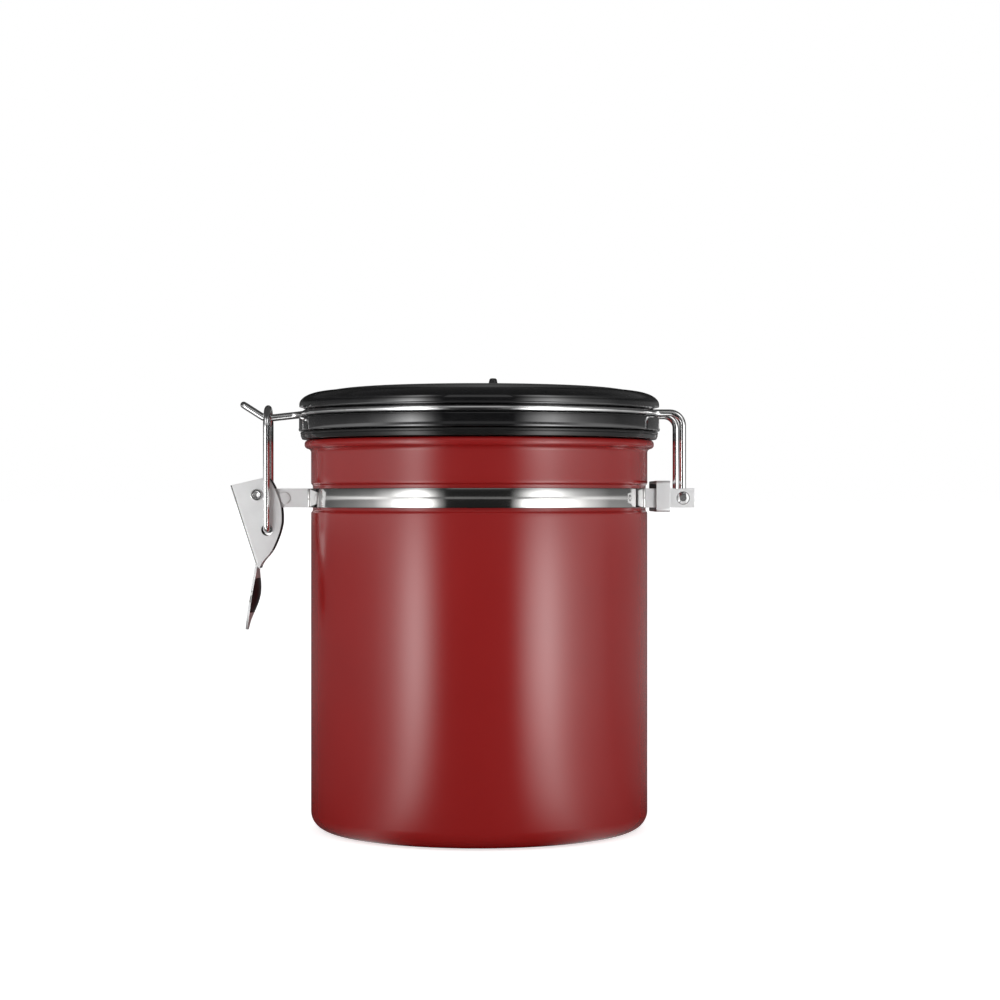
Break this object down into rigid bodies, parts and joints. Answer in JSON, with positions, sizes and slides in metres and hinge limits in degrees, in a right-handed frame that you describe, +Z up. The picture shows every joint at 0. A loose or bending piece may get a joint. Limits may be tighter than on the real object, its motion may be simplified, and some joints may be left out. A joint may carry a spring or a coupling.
{
  "type": "coffee canister",
  "caption": "Round steel coffee canister with a clamp strap, wire bail hinge, over-centre latch and domed lid with a date dial and one-way gas valve.",
  "frame": {"origin": "centre of the flat base, on the can's axis", "axes": "+Z up along the can's axis, +X towards the lid hinge, latch at -X, +Y away from the viewer of the picture"},
  "size_m": [0.1641, 0.1288, 0.1589],
  "materials": {
    "powder_coat": "satin red powder coat",
    "strap_steel": "polished strip",
    "latch_steel": "bright pressed steel",
    "bright_wire": "polished",
    "gasket_silicone": "satin black silicone",
    "lid_plastic": "high gloss black",
    "dial_plastic": "satin black",
    "valve_plastic": "satin black",
    "valve_silicone": "soft translucent white",
    "filter_mesh": "fine mesh"
  },
  "bodies": {
    "canister": {"canister_body": "powder_coat", "strap_front": "strap_steel", "strap_rear": "strap_steel", "strap_rivet": "strap_steel", "lever_rivet": "strap_steel", "hinge_collar": "strap_steel"},
    "lid": {"bail_wire": "bright_wire", "lid_base": "lid_plastic", "lid_cap": "lid_plastic", "lid_gasket": "gasket_silicone", "valve_body": "valve_plastic", "vent_cap": "valve_plastic", "filter_disc": "filter_mesh"},
    "dial": {"date_dial": "dial_plastic"},
    "valve": {"valve_disc": "valve_silicone"},
    "lever": {"latch_lever": "latch_steel"},
    "link": {"latch_link": "bright_wire"}
  },
  "joints": [
    {"name": "lid_hinge", "type": "hinge", "parent": "canister", "child": "lid", "pos_m": [0.0715, 0, 0.1172], "axis": [0, 1, 0], "range_deg": [0, 200]},
    {"name": "dial_turn", "type": "hinge", "parent": "lid", "child": "dial", "pos_m": [0, 0, 0.155], "axis": [0, 0, 1], "continuous": true},
    {"name": "valve_lift", "type": "slide", "parent": "lid", "child": "valve", "axis": [0, 0, 1], "range_m": [0, 0.0008], "stiffness_N_per_m": 20},
    {"name": "lever_throw", "type": "hinge", "parent": "canister", "child": "lever", "pos_m": [-0.0793, 0, 0.1183], "axis": [0, 1, 0], "range_deg": [0, 120]},
    {"name": "link_swing", "type": "hinge", "parent": "lever", "child": "link", "pos_m": [-0.0755, 0, 0.10585], "axis": [0, 1, 0], "range_deg": [-83, 0]}
  ],
  "couplings": [
    {"joint": "link_swing", "follows": "lever_throw", "ratio": -0.69}
  ]
}
